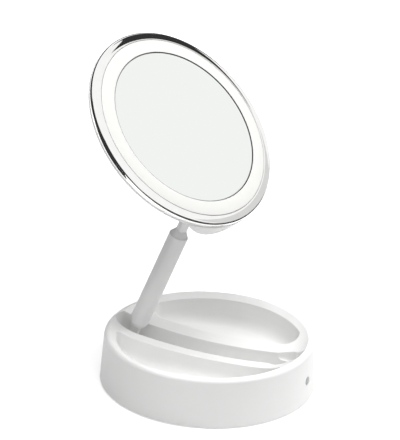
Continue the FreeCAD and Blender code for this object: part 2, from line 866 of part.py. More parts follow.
def rear_housing():
    """Domed rear shell with a straight band, a spigot for the bezel, a lip and bosses inside."""
    dome, centre, rim = dome_edges(0)
    inner, inner_centre, inner_rim = dome_edges(wall)
    spigot_inner = spigot_radius - spigot_thickness
    shoulder = rz(band_radius - band_round, -rim_depth)
    side = rz(band_radius, band_round - rim_depth)
    front = -bezel_thickness - seat_gap
    step = -chrome_depth - seat_gap
    outline = [line(rim, shoulder), corner_arc(shoulder, rz(band_radius, -rim_depth), side)]
    outline += path([
        side,
        rz(band_radius, step),
        rz(spigot_radius, step),
        rz(spigot_radius, front),
        rz(spigot_inner, front),
        rz(spigot_inner, rim_floor),
        inner_rim,
    ])
    shell = turned(dome + outline + inner + [line(inner_centre, centre)])
    inside = turned(inner + path([inner_rim, rz(spigot_inner, rim_floor), rz(spigot_inner, 0),
                                  rz(0, 0), inner_centre]))
    face = bracket_face()
    boss = rod(plate_radius, at(-hub_reach, 0, face), bracket_seat() - face, Z_AXIS)
    adds = [boss, finger_lip()]
    for place in post_places():
        seat = rod(screw_head_radius + wall, place + Z_AXIS * (post_foot() - screw_head_height),
                   screw_head_height + wall, Z_AXIS)
        adds.append(seat.common(fused([shell, inside])))
    shell = fused([shell] + adds)
    cuts = []
    for place in bracket_screw_places():
        cuts.append(rod(screw_radius + slip_gap, place + Z_AXIS * (face - overrun),
                        bracket_seat() - face + 2 * overrun, Z_AXIS))
    for place in post_places():
        cuts.append(rod(screw_radius + slip_gap, place - Z_AXIS * fold_plane, fold_plane, Z_AXIS))
        cuts.append(rod(screw_head_radius + slip_gap, place - Z_AXIS * fold_plane,
                        fold_plane + post_foot(), Z_AXIS))
    return shell.cut(cuts)


def post_hole_depth():
    """Depth of the screw holes in the carrier's posts, which end below its hollow plate."""
    reach = glass_radius - post_inset
    return carrier_top() - glass_drop(reach) - carrier_thickness - post_foot()


def housing_screws():
    """Screws through the dome into the carrier's posts."""
    seat = post_foot() - screw_head_height
    length = screw_head_height + post_screw_share * post_hole_depth()
    return [screw(place + Z_AXIS * seat, Z_AXIS, length) for place in post_places()]


def tilt_bracket():
    """Bracket on the dome: a round plate with two ears that hold the tilt pin."""
    face = bracket_face()
    plate = rod(plate_radius, at(-hub_reach, 0, face - plate_thickness), plate_thickness, Z_AXIS)
    adds = [plate]
    for side in (-1, 1):
        near = min(side * ear_inner, side * ear_outer)
        far = max(side * ear_inner, side * ear_outer)
        adds.append(block(at(-hub_reach - eye_radius, near, -hub_depth),
                          at(-hub_reach + eye_radius, far, face - plate_thickness / 2)))
        adds.append(rod(eye_radius, at(-hub_reach, near, -hub_depth), ear_thickness, Y_AXIS))
    bracket = fused(adds)
    cuts = [rod(tilt_pin_radius + running_gap, at(-hub_reach, -plate_radius, -hub_depth),
                2 * plate_radius, Y_AXIS)]
    for place in bracket_screw_places():
        cuts.append(rod(screw_radius + running_gap, place + Z_AXIS * (face - plate_thickness - overrun),
                        plate_thickness + 2 * overrun, Z_AXIS))
    return bracket.cut(cuts)


def bracket_screws():
    """Screws from inside the dome into the bracket's plate."""
    face = bracket_face()
    seat = bracket_seat() + screw_head_height
    length = seat - face + plate_thickness - seat_gap
    return [screw(place + Z_AXIS * seat, Z_AXIS * -1, length) for place in bracket_screw_places()]


def tilt_pin():
    """Riveted pin through the bracket's ears and the neck's eye."""
    reach = ear_outer + rivet_thickness
    shaft = rod(tilt_pin_radius, at(-hub_reach, -reach, -hub_depth), 2 * reach, Y_AXIS)
    heads = []
    for side in (-1, 1):
        heads.append(rod(rivet_radius, at(-hub_reach, side * ear_outer, -hub_depth), rivet_thickness,
                         Y_AXIS * side))
    return fused([shaft] + heads)


def tilt_washers():
    """Friction washers either side of the neck's eye."""
    found = []
    for side in (-1, 1):
        foot = at(-hub_reach, side * (eye_half_thickness + side_gap), -hub_depth)
        disc = rod(eye_radius - washer_edge, foot, tilt_washer, Y_AXIS * side)
        found.append(disc.cut(rod(tilt_pin_radius + running_gap, foot, tilt_washer, Y_AXIS * side)))
    return found


def glass_drop(radius):
    """How far the hollow mirror lies below its edge at a radius."""
    sphere = (glass_radius ** 2 + glass_hollow ** 2) / (2 * glass_hollow)
    return glass_hollow - sphere + math.sqrt(sphere ** 2 - radius ** 2)


def hollow_arc(outer, inner, height):
    """Arc parallel to the mirror's hollow face from an outer to an inner radius."""
    middle = (outer + inner) / 2
    return Part.Arc(rz(outer, height - glass_drop(outer)), rz(middle, height - glass_drop(middle)),
                    rz(inner, height - glass_drop(inner))).toShape()


def hollow_layer(outer, inner, top, thickness):
    """A layer of even thickness that follows the mirror's hollow face."""
    upper = hollow_arc(outer, inner, top)
    lower = hollow_arc(inner, outer, top - thickness)
    sides = []
    for radius in (outer, inner):
        level = top - glass_drop(radius)
        sides.append(line(rz(radius, level), rz(radius, level - thickness)))
    return turned([upper, lower] + sides)


def mirror_glass():
    """The magnifying mirror, hollow on its face."""
    return hollow_layer(glass_radius, 0, glass_rise, glass_thickness)


def mirror_pad():
    """Ring of adhesive foam between the mirror and its carrier."""
    outer = glass_radius - pad_inset
    return hollow_layer(outer, outer - pad_width, glass_rise - glass_thickness - layer_gap, pad_thickness)


def diffuser_inner():
    return glass_radius + layer_gap


def carrier_top():
    """Height of the carrier's plate at the mirror's edge."""
    return glass_rise - glass_thickness - pad_thickness - 2 * layer_gap


def mirror_carrier():
    """Moulding behind the mirror: a hollow plate for the glass and a trough for the lamps."""
    ledge = diffuser_inner() + ledge_width
    ledge_top = diffuser_back
    trough_outer = lip_radius + trough_wall + trough_wall / 2
    plate_top = carrier_top()
    plate = hollow_layer(diffuser_inner() + trough_wall, 0, plate_top, carrier_thickness)
    step = ring(ledge, diffuser_inner(), rim_floor, ledge_top)
    floor = ring(trough_outer, diffuser_inner(), rim_floor, rim_floor + trough_wall)
    outer = ring(trough_outer, trough_outer - trough_wall, rim_floor, ledge_top)
    posts = []
    for place in post_places():
        reach = math.hypot(place.x, place.y)
        top = plate_top - glass_drop(reach) - carrier_thickness / 2
        low = post_foot() + wall
        posts.append(rod(post_radius, place + Z_AXIS * low, top - low, Z_AXIS))
    body = fused([plate, step, floor, outer] + posts)
    holes = []
    for place in post_places():
        holes.append(rod(screw_radius + running_gap, place + Z_AXIS * post_foot(),
                         post_hole_depth(), Z_AXIS))
    for place in bracket_screw_places():
        holes.append(rod(screw_head_radius + layer_gap, place + Z_AXIS * bracket_seat(),
                         screw_head_height + layer_gap, Z_AXIS))
    return body.cut(holes)


def lamp_ring_middle():
    return (diffuser_inner() + ledge_width + lip_radius) / 2


def lamp_board():
    """Ring board on the trough's floor that carries the lamps."""
    low = rim_floor + trough_wall
    return ring(lip_radius, diffuser_inner() + ledge_width + layer_gap, low, low + board_thickness)


def lamps():
    """Small white lamps evenly round the board."""
    low = rim_floor + trough_wall + board_thickness
    middle = lamp_ring_middle()
    found = []
    for index in range(lamp_count):
        lamp = block(at(middle - lamp_width / 2, -lamp_length / 2, low),
                     at(middle + lamp_width / 2, lamp_length / 2, low + lamp_height))
        lamp.rotate(ORIGIN, Z_AXIS, FULL_TURN * index / lamp_count)
        found.append(lamp)
    return found


def diffuser_ring():
    """Frosted light ring between the mirror and the bezel, crowned and highest at the mirror."""
    inner = diffuser_inner()
    back = diffuser_back
    shelf = back + diffuser_thickness / 2
    visible_outer = lip_radius - layer_gap
    flange = lip_radius + trough_wall
    front_inner = rz(inner, bezel_rise + diffuser_rise)
    front_outer = rz(visible_outer, bezel_rise - seat_gap)
    crown_top = bezel_rise + diffuser_rise / 2 + diffuser_crown
    crown = Part.Arc(front_inner, rz((inner + visible_outer) / 2, crown_top), front_outer).toShape()
    rest = path([front_outer, rz(visible_outer, shelf), rz(flange, shelf), rz(flange, back),
                 rz(inner, back), front_inner])
    return turned([crown] + rest)


def chrome_bezel():
    """Bright ring round the light ring, with a flat front and a rolled outer edge."""
    side = rz(bezel_radius, -bezel_edge_round)
    corner = rz(bezel_radius, 0)
    brow = rz(bezel_radius - bezel_edge_round, 0)
    lip_round = bezel_thickness * lip_round_share
    lip_front = rz(lip_radius + lip_round, bezel_rise)
    lip_side = rz(lip_radius, bezel_rise - lip_round)
    edges = [corner_arc(side, corner, brow), line(brow, lip_front)]
    edges.append(corner_arc(lip_front, rz(lip_radius, bezel_rise), lip_side))
    edges += path([
        lip_side,
        rz(lip_radius, bezel_rise - bezel_thickness),
        rz(bezel_inner_radius, -bezel_thickness),
        rz(bezel_inner_radius, -chrome_depth),
        rz(bezel_radius, -chrome_depth),
        side,
    ])
    return turned(edges)


BASE_PIECES = {
    "tray_body": tray_body,
    "base_cover": base_cover,
    "foot_ring": foot_ring,
    "battery_door": battery_door,
    "cover_screws": cover_screws,
    "cells": cells,
    "battery_contacts": battery_contacts,
    "power_button": power_button,
    "tact_switch": tact_switch,
    "control_board": control_board,
    "hinge_pin": hinge_pin,
    "hinge_bushes": hinge_bushes,
    "hinge_washers": hinge_washers,
}
ARM_PIECES = {
    "arm_tube": arm_tube,
    "arm_knuckle": arm_knuckle,
    "arm_lead": arm_lead,
    "neck_bush": neck_bush,
}
NECK_PIECES = {
    "neck": neck,
    "neck_clip": neck_clip,
}
HEAD_PIECES = {
    "rear_housing": rear_housing,
    "housing_screws": housing_screws,
    "tilt_bracket": tilt_bracket,
    "bracket_screws": bracket_screws,
    "tilt_pin": tilt_pin,
    "tilt_washers": tilt_washers,
    "mirror_carrier": mirror_carrier,
    "mirror_pad": mirror_pad,
    "mirror_glass": mirror_glass,
    "lamp_board": lamp_board,
    "lamps": lamps,
    "diffuser_ring": diffuser_ring,
    "chrome_bezel": chrome_bezel,
}


def write_pieces(pieces, place):
    """Build each piece, set it in its place and write it under its node's name."""
    for name, make in pieces.items():
        shape = make()
        if isinstance(shape, list):
            shape = Part.makeCompound(shape)
        shape.transformShape(place.toMatrix(), True)
        if not shape.isValid() or not shape.Solids:
            raise ValueError(name + " is not a valid solid")
        shape.exportStep("parts/" + name + ".step")
        print(name, len(shape.Solids), round(shape.Volume, 1))


os.makedirs("parts", exist_ok=True)
write_pieces(BASE_PIECES, FreeCAD.Placement())
write_pieces(ARM_PIECES, arm_place())
write_pieces(NECK_PIECES, neck_place())
write_pieces(HEAD_PIECES, head_place())
hinge = arm_place().Base
hub = arm_place().multVec(at(0, 0, arm_length))
swivel_axis = arm_place().Rotation.multVec(Z_AXIS)
tilt_axis = head_place().Rotation.multVec(Y_AXIS)
print("arm hinge", hinge, "tilt hinge", hub)
print("swivel axis", swivel_axis, "tilt axis", tilt_axis)
print("fold", arm_angle, "swivel", swivel_angle, "tilt", HALF_TURN / 2 + arm_angle - mirror_angle)
print("door hinge", door_hinge(), "head centre", head_place().Base)
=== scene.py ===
"""Dressed scene of a folding, lighted make-up mirror: finishes, screws, light and camera."""

import logging
import math
from dataclasses import dataclass, field
from enum import Enum
from typing import Dict, List, Optional, Sequence, Tuple, Union

import bpy
from mathutils import Matrix, Quaternion, Vector


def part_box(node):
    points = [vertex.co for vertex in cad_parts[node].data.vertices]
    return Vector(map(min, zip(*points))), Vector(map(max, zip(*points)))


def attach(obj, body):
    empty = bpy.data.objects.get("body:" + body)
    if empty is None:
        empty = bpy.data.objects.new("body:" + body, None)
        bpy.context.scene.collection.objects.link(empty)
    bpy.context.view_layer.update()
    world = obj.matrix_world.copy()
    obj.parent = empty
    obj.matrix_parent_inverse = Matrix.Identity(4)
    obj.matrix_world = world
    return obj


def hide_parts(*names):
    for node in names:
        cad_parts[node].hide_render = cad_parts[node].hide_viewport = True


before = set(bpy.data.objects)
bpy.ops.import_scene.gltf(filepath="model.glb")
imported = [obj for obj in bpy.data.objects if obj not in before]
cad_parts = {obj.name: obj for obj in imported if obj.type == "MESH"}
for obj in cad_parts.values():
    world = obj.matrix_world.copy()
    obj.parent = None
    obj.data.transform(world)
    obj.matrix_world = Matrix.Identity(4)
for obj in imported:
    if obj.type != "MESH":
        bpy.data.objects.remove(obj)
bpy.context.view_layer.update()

log = logging.getLogger("mirror")
Triple = Tuple[float, float, float]
Point = Tuple[float, float]
MM = 0.001
NOISE_MIDDLE = 0.5
SOFT_START, SOFT_END = 1.3, 0.7
BLACK, WHITE = (0.0, 0.0, 0.0, 1.0), (1.0, 1.0, 1.0, 1.0)


class FlagShade(Enum):
    """Shades of the flags that bright metal shows."""

    DARK = 0.035
    GREY = 0.72


def linear(colour: Triple) -> Tuple[float, float, float, float]:
    """Turn a display colour into the linear colour that the shaders use.

    Args:
        colour: red, green and blue as they look on screen, from 0 to 1.

    Returns:
        The linear colour with an alpha of 1.
    """
    parts = [c / 12.92 if c <= 0.04045 else ((c + 0.055) / 1.055) ** 2.4 for c in colour]
    return (parts[0], parts[1], parts[2], 1.0)


class Value:
    """A number on a node's output, with arithmetic that adds Math nodes."""

    def __init__(self, graph: "Graph", socket: bpy.types.NodeSocket) -> None:
        """Wrap one output socket of the graph."""
        self.graph = graph
        self.socket = socket

    def _math(self, operation: str, first: "Number", second: "Number") -> "Value":
        """Add one Math node and wrap its result.

        Args:
            operation: the Math node's operation.
            first: the left-hand number or value.
            second: the right-hand number or value.

        Returns:
            The wrapped result.
        """
        node = self.graph.node("ShaderNodeMath", {"operation": operation}, {0: first, 1: second})
        return Value(self.graph, node.outputs[0])

    def __add__(self, other: "Number") -> "Value":
        """Sum of two numbers."""
        return self._math("ADD", self, other)

    __radd__ = __add__

    def __sub__(self, other: "Number") -> "Value":
        """Difference of two numbers."""
        return self._math("SUBTRACT", self, other)

    def __rsub__(self, other: "Number") -> "Value":
        """Difference with the plain number first."""
        return self._math("SUBTRACT", other, self)

    def __mul__(self, other: "Number") -> "Value":
        """Product of two numbers."""
        return self._math("MULTIPLY", self, other)

    __rmul__ = __mul__

    def __pow__(self, other: "Number") -> "Value":
        """Power of a number."""
        return self._math("POWER", self, other)

    def __abs__(self) -> "Value":
        """Size of a number without its sign."""
        return self._math("ABSOLUTE", self, 0.0)

    def max(self, other: "Number") -> "Value":
        """Larger of two numbers."""
        return self._math("MAXIMUM", self, other)

    def cosine(self) -> "Value":
        """Cosine of an angle in radians."""
        return self._math("COSINE", self, 0.0)

    def angle_to(self, other: "Value") -> "Value":
        """Angle of the point whose height is this value and whose width is the other."""
        return self._math("ARCTAN2", self, other)

    def step(self, low: float, high: float) -> "Value":
        """Soft step of the value.

        Args:
            low: where the step starts from 0.
            high: where it reaches 1.

        Returns:
            A mask from 0 to 1.
        """
        node = self.graph.node("ShaderNodeMapRange", {"interpolation_type": "SMOOTHSTEP"},
                               {"Value": self, "From Min": low, "From Max": high})
        return Value(self.graph, node.outputs[0])


Number = Union[float, Value]
Feed = Union[float, Sequence[float], Value, bpy.types.NodeSocket]


def reach(x: Value, y: Value) -> Value:
    """Distance of a place from the axis that x and y are measured from."""
    return (x * x + y * y) ** 0.5


class Graph:
    """Nodes of one material or world, added by type with their settings and feeds."""

    def __init__(self, tree: bpy.types.NodeTree) -> None:
        """Start from an emptied node tree."""
        self.tree = tree
        tree.nodes.clear()

    def node(self, kind: str, settings: Optional[Dict[str, object]] = None,
             feeds: Optional[Dict[Union[int, str], Feed]] = None) -> bpy.types.Node:
        """Add a node.

        Args:
            kind: the node's type.
            settings: properties of the node, set first.
            feeds: values or links of its inputs, by name or place.

        Returns:
            The new node.
        """
        made = self.tree.nodes.new(kind)
        for name, value in (settings or {}).items():
            setattr(made, name, value)
        for place, feed in (feeds or {}).items():
            socket = made.inputs[place]
            if isinstance(feed, Value):
                self.tree.links.new(feed.socket, socket)
            elif isinstance(feed, bpy.types.NodeSocket):
                self.tree.links.new(feed, socket)
            else:
                socket.default_value = feed
        return made

    def places(self, turn: Optional[Matrix] = None) -> bpy.types.NodeSocket:
        """Object coordinates, turned into a part's own frame where one is given.

        Args:
            turn: the part's frame, in metres.

        Returns:
            The socket with the coordinates.
        """
        spot = self.node("ShaderNodeTexCoord").outputs["Object"]
        if turn is None:
            return spot
        back = turn.inverted()
        mapped = self.node("ShaderNodeMapping", {"vector_type": "POINT"}, {
            "Vector": spot,
            "Location": tuple(back.to_translation()),
            "Rotation": tuple(back.to_euler("XYZ")),
        })
        return mapped.outputs[0]

    def axes(self, turn: Optional[Matrix] = None) -> Tuple[Value, Value, Value]:
        """The three coordinates as separate values."""
        parts = self.node("ShaderNodeSeparateXYZ", None, {0: self.places(turn)})
        return tuple(Value(self, out) for out in parts.outputs)

    def noise(self, size: float, detail: float = 2.0) -> Value:
        """Even noise of a given grain.

        Args:
            size: width of one grain in metres.
            detail: how many finer layers it has.

        Returns:
            The noise, about NOISE_MIDDLE on the whole.
        """
        made = self.node("ShaderNodeTexNoise", None,
                         {"Vector": self.places(), "Scale": 1.0 / size, "Detail": detail})
        return Value(self, made.outputs["Fac"])

    def blend(self, mask: Number, first: Feed, second: Feed) -> bpy.types.NodeSocket:
        """Mix two colours by a mask.

        Args:
            mask: 0 gives the first colour, 1 the second.
            first: a colour or a link to one.
            second: a colour or a link to one.

        Returns:
            The socket with the mixed colour.
        """
        made = self.node("ShaderNodeMix", {"data_type": "RGBA"}, {0: mask, 6: first, 7: second})
        return made.outputs[2]

    def bump(self, height: Value, depth: float,
             ground: Optional[bpy.types.NodeSocket] = None) -> bpy.types.NodeSocket:
        """Normal of a surface that rises and falls by a depth in metres.

        Args:
            height: the relief, from 0 to 1.
            depth: how deep the relief is.
            ground: the normal that it stands on, where that isn't the surface's own.

        Returns:
            The socket with the normal.
        """
        feeds = {"Height": height, "Distance": depth}
        if ground is not None:
            feeds["Normal"] = ground
        return self.node("ShaderNodeBump", None, feeds).outputs[0]

    def plain_round(self, turn: Matrix, limit: float, fade: float = 0.8) -> bpy.types.NodeSocket:
        """Normal that follows the bare faces round an axis and the smoothed ones beyond.

        Args:
            turn: the frame whose +Z is the axis.
            limit: how far from the axis the bare faces count.
            fade: share of that distance within which they count in full.

        Returns:
            The socket with the normal.
        """
        x, y, _ = self.axes(turn)
        near = reach(x, y).step(limit, limit * fade)
        shape = self.node("ShaderNodeNewGeometry")
        made = self.node("ShaderNodeMix", {"data_type": "VECTOR"},
                         {0: near, 4: shape.outputs["Normal"], 5: shape.outputs["True Normal"]})
        return made.outputs[1]

    def surface(self, feeds: Dict[Union[int, str], Feed]) -> None:
        """End a material with one shader that takes the given feeds."""
        shader = self.node("ShaderNodeBsdfPrincipled", None, feeds)
        self.node("ShaderNodeOutputMaterial", None, {"Surface": shader.outputs[0]})


def new_material(name: str) -> Tuple[bpy.types.Material, Graph]:
    """Start a new material.

    Args:
        name: name of the material.

    Returns:
        The material and its empty graph.
    """
    material = bpy.data.materials.new(name)
    material.use_nodes = True
    return material, Graph(material.node_tree)


@dataclass(frozen=True)
class MouldedPlastic:
    """Moulded plastic with a fine eroded grain and a faint unevenness."""

    name: str
    colour: Triple
    roughness: float = 0.42
    grain: float = 0.35 * MM
    depth: float = 0.012 * MM
    unevenness: float = 0.015
    dome: Optional[Matrix] = None
    dome_middle: float = 10.0 * MM
    flow: float = 28.0 * MM
    flow_sheen: float = 0.10
    grain_sheen: float = 0.06
    ior: float = 1.46

    def make(self) -> bpy.types.Material:
        """Build the material.

        Returns:
            The new material.
        """
        material, graph = new_material(self.name)
        ground = graph.plain_round(self.dome, self.dome_middle) if self.dome else None
        flow = graph.noise(self.flow, 3.0)
        grain = graph.noise(self.grain)
        shade = tuple(c * (1 - self.unevenness) for c in self.colour)
        graph.surface({
            "Base Color": graph.blend(flow, linear(shade), linear(self.colour)),
            "Roughness": (self.roughness + self.flow_sheen * (flow - NOISE_MIDDLE)
                          + self.grain_sheen * (grain - NOISE_MIDDLE)),
            "Normal": graph.bump(grain, self.depth, ground),
            "IOR": self.ior,
        })
        return material


@dataclass(frozen=True)
class FrostedLight:
    """Frosted light ring, lit from behind by evenly spaced lamps, with painted shade on its inner
    wall.
    """

    name: str
    colour: Triple
    glow: float
    lamps: int
    turn: Matrix
    inner: float
    # Painted shade: a dark, unlit band on the ring's inner wall stands in for the shadow in the gap
    # beside the mirror.
    painted_shade_colour: Triple = (0.22, 0.22, 0.22)
    painted_shade: float = 0.15 * MM
    frost: float = 0.5 * MM
    frost_depth: float = 0.01 * MM
    frost_sheen: float = 0.12
    roughness: float = 0.5
    dimming: float = 0.985

    def make(self) -> bpy.types.Material:
        """Build the material.

        Returns:
            The new material.
        """
        material, graph = new_material(self.name)
        x, y, _ = graph.axes(self.turn)
        # Painted shade: mask of the darkened inner wall, which also keeps that wall from glowing.
        painted_shade = reach(x, y).step(self.inner + self.painted_shade * SOFT_START,
                                self.inner + self.painted_shade * SOFT_END)
        spots = ((y.angle_to(x) * float(self.lamps)).cosine() + 1.0) * 0.5
        frost = graph.noise(self.frost)
        dim = tuple(c * self.dimming for c in self.colour)
        face = graph.blend(frost, linear(dim), linear(self.colour))
        shine = graph.blend(spots, linear(dim), linear(self.colour))
        graph.surface({
            "Base Color": graph.blend(painted_shade, face, linear(self.painted_shade_colour)),
            "Roughness": self.roughness + self.frost_sheen * (frost - NOISE_MIDDLE),
            "Normal": graph.bump(frost, self.frost_depth),
            "Emission Color": graph.blend(painted_shade, shine, BLACK),
            "Emission Strength": self.glow,
        })
        return material


@dataclass(frozen=True)
class SilveredGlass:
    """Polished mirror with a dull ground edge, darkened further as painted shade of the gap round
    the glass.
    """

    name: str
    colour: Triple
    edge_and_shade_colour: Triple
    radius: float
    turn: Matrix
    edge: float = 0.5 * MM
    edge_dulling: float = 0.6
    edge_roughness: float = 0.28
    polish: float = 0.008
    film: float = 35.0 * MM
    film_sheen: float = 0.012

    def make(self) -> bpy.types.Material:
        """Build the material.

        Returns:
            The new material.
        """
        material, graph = new_material(self.name)
        x, y, _ = graph.axes(self.turn)
        # Ground edge and painted shade: the outer rim is dulled for the ground edge and darkened
        # for the shadow of the gap.
        rim = reach(x, y).step(self.radius - self.edge * SOFT_START,
                               self.radius - self.edge * SOFT_END)
        film = graph.noise(self.film, 3.0)
        graph.surface({
            "Base Color": graph.blend(rim, linear(self.colour), linear(self.edge_and_shade_colour)),
            "Metallic": 1.0 - rim * self.edge_dulling,
            "Roughness": self.polish + self.film_sheen * film + rim * self.edge_roughness,
        })
        return material


@dataclass(frozen=True)
class BrightPlate:
    """Bright plating with a barely uneven polish."""

    name: str
    colour: Triple
    roughness: float
    film: float = 9.0 * MM
    film_sheen: float = 0.05
    fine: float = 0.8 * MM
    fine_sheen: float = 0.01
    dulling: float = 0.96

    def make(self) -> bpy.types.Material:
        """Build the material.

        Returns:
            The new material.
        """
        material, graph = new_material(self.name)
        film = graph.noise(self.film, 4.0)
        fine = graph.noise(self.fine)
        dull = tuple(c * self.dulling for c in self.colour)
        graph.surface({
            "Base Color": graph.blend(film, linear(dull), linear(self.colour)),
            "Metallic": 1.0,
            "Roughness": (self.roughness + self.film_sheen * (film - NOISE_MIDDLE).max(0.0)
                          + self.fine_sheen * fine),
        })
        return material


@dataclass(frozen=True)
class SoftRubber:
    """Soft rubber or foam with a dry, dusty grain."""

    name: str
    colour: Triple
    pores: float = 0.6 * MM
    pore_depth: float = 0.05 * MM
    pore_sheen: float = 0.15
    roughness: float = 0.8
    dust: float = 14.0 * MM
    dust_levels: Point = (0.45, 0.75)
    dusting: float = 1.25

    def make(self) -> bpy.types.Material:
        """Build the material.

        Returns:
            The new material.
        """
        material, graph = new_material(self.name)
        pores = graph.noise(self.pores, 3.0)
        dust = graph.noise(self.dust, 4.0).step(*self.dust_levels)
        pale = tuple(min(1.0, c * self.dusting) for c in self.colour)
        graph.surface({
            "Base Color": graph.blend(dust, linear(self.colour), linear(pale)),
            "Roughness": self.roughness + self.pore_sheen * (pores - NOISE_MIDDLE),
            "Normal": graph.bump(pores, self.pore_depth),
        })
        return material


@dataclass(frozen=True)
class TurnedSteel:
    """Plain bright steel with fine drawn marks."""

    name: str
    colour: Triple
    roughness: float = 0.28
    marks: float = 0.25 * MM
    mark_depth: float = 0.008 * MM
    mark_sheen: float = 0.18
    tarnish: float = 4.0 * MM
    tarnish_levels: Point = (0.35, 0.8)
    tarnish_sheen: float = 0.1
    dulling: float = 0.82

    def make(self) -> bpy.types.Material:
        """Build the material.

        Returns:
            The new material.
        """
        material, graph = new_material(self.name)
        marks = graph.noise(self.marks, 3.0)
        tarnish = graph.noise(self.tarnish, 3.0)
        spots = tarnish.step(*self.tarnish_levels)
        dull = tuple(c * self.dulling for c in self.colour)
        graph.surface({
            "Base Color": graph.blend(spots, linear(self.colour), linear(dull)),
            "Metallic": 1.0,
            "Roughness": (self.roughness + self.mark_sheen * (marks - NOISE_MIDDLE)
                          + self.tarnish_sheen * (tarnish - NOISE_MIDDLE)),
            "Normal": graph.bump(marks, self.mark_depth),
        })
        return material


@dataclass(frozen=True)
class CircuitBoard:
    """Lacquered board with copper runs under the lacquer."""

    name: str
    lacquer: Triple
    copper: Triple
    pitch: float = 1.6 * MM
    run_width: float = 0.12
    run_depth: float = 0.03 * MM
    run_sheen: float = 0.1
    run_cover: float = 0.6
    squash: float = 1.6
    roughness: float = 0.38

    def make(self) -> bpy.types.Material:
        """Build the material.

        Returns:
            The new material.
        """
        material, graph = new_material(self.name)
        runs = graph.node("ShaderNodeTexBrick", {"offset": 0.5, "squash": self.squash}, {
            "Vector": graph.places(),
            "Scale": 1.0 / self.pitch,
            "Mortar Size": self.run_width,
            "Color1": BLACK,
            "Color2": BLACK,
            "Mortar": WHITE,
        })
        lines = Value(graph, runs.outputs["Fac"])
        cover = lines * self.run_cover
        graph.surface({
            "Base Color": graph.blend(cover, linear(self.lacquer), linear(self.copper)),
            "Roughness": self.roughness - self.run_sheen * lines,
            "Normal": graph.bump(lines, self.run_depth),
        })
        return material


@dataclass(frozen=True)
class CellWrap:
    """Plain film wrap round a cell, with bare metal at both ends."""

    name: str
    film: Triple
    band: Triple
    metal: Triple
    half_length: float
    bare_start: float = 0.9 * MM
    bare_full: float = 0.6 * MM
    band_place: float = 0.62
    band_half: float = 3.0 * MM
    band_full: float = 2.8 * MM
    crease: float = 3.0 * MM
    crease_depth: float = 0.03 * MM
    crease_sheen: float = 0.12
    roughness: float = 0.3

    def make(self) -> bpy.types.Material:
        """Build the material.

        Returns:
            The new material.
        """
        material, graph = new_material(self.name)
        end = self.half_length
        x, _, _ = graph.axes()
        bare = abs(x).step(end - self.bare_start, end - self.bare_full)
        band = abs(x - end * self.band_place).step(self.band_half, self.band_full)
        crease = graph.noise(self.crease)
        wrap = graph.blend(band, linear(self.film), linear(self.band))
        graph.surface({
            "Base Color": graph.blend(bare, wrap, linear(self.metal)),
            "Metallic": bare,
            "Roughness": self.roughness + self.crease_sheen * (crease - NOISE_MIDDLE),
            "Normal": graph.bump(crease, self.crease_depth),
        })
        return material


def select_only(piece: bpy.types.Object) -> None:
    """Make one object the only selected and active one.

    Args:
        piece: the object.
    """
    bpy.ops.object.select_all(action="DESELECT")
    piece.select_set(True)
    bpy.context.view_layer.objects.active = piece


@dataclass
class SpunRing:
    """A round piece drawn out of a circle, loop by loop, along a closed or open section."""

    name: str
    node: str
    slot: str
    section: List[Point]
    closed: bool = True
    segments: int = 192
    smooth_angle: float = 28.0
    weld: float = 0.001 * MM

    def model(self, place: Matrix, body: str, finish: bpy.types.Material) -> bpy.types.Object:
        """Model the ring, set it in its place and let it stand for its solid.

        Args:
            place: frame of the ring, its axis along +Z.
            body: the body that it rides on.
            finish: its material.

        Returns:
            The finished ring.
        """
        bpy.ops.object.select_all(action="DESELECT")
        radius, height = self.section[0]
        bpy.ops.mesh.primitive_circle_add(vertices=self.segments, radius=radius,
                                          location=(0, 0, height))
        ring = bpy.context.active_object
        bpy.ops.object.transform_apply(location=True)
        bpy.ops.object.mode_set(mode="EDIT")
        bpy.ops.mesh.select_mode(type="EDGE")
        bpy.ops.mesh.select_all(action="SELECT")
        loops = self.section[1:] + (self.section[:1] if self.closed else [])
        for far, level in loops:
            rise = (0, 0, level - height)
            bpy.ops.mesh.extrude_region_move(TRANSFORM_OT_translate={"value": rise})
            bpy.ops.transform.resize(value=(far / radius, far / radius, 1.0))
            radius, height = far, level
        if not self.closed:
            bpy.ops.mesh.merge(type="CENTER")
            bpy.ops.mesh.select_all(action="DESELECT")
            bpy.ops.mesh.select_non_manifold()
            bpy.ops.mesh.edge_face_add()
        bpy.ops.mesh.select_all(action="SELECT")
        bpy.ops.mesh.remove_doubles(threshold=self.weld)
        bpy.ops.mesh.normals_make_consistent(inside=False)
        bpy.ops.object.mode_set(mode="OBJECT")
        bpy.ops.object.shade_smooth_by_angle(angle=math.radians(self.smooth_angle))
        ring.name = self.name
        ring.data.transform(place)
        ring.data.materials.append(finish)
        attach(ring, body)
        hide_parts(self.node)
        log.info("modelled %s", self.name)
        return ring


def bowed(start: Point, end: Point, rise: float, steps: int) -> List[Point]:
    """Points of a shallow bow from start to end, without its ends.

    Args:
        start: radius and height of the first end.
        end: radius and height of the second end.
        rise: how far the bow stands off its chord, to the left of its run.
        steps: how many equal parts it is cut into.

    Returns:
        The points between the two ends.
    """
    found = []
    across, up = end[0] - start[0], end[1] - start[1]
    length = math.hypot(across, up)
    for index in range(1, steps):
        share = index / steps
        stand = 4.0 * rise * share * (1.0 - share) / length
        found.append((start[0] + across * share - up * stand,
                      start[1] + up * share + across * stand))
    return found


def rounded(start: Point, corner: Point, end: Point, steps: int) -> List[Point]:
    """Points of a quarter round that hugs a corner, with both ends.

    Args:
        start: radius and height of the first end.
        corner: the corner that the round replaces.
        end: radius and height of the second end.
        steps: how many equal parts it is cut into.

    Returns:
        The points from start to end.
    """
    centre = (start[0] + end[0] - corner[0], start[1] + end[1] - corner[1])
    found = []
    for index in range(steps + 1):
        turn = math.pi / 2 * index / steps
        found.append(tuple(centre[i] + (start[i] - centre[i]) * math.cos(turn)
                           + (end[i] - centre[i]) * math.sin(turn) for i in (0, 1)))
    return found


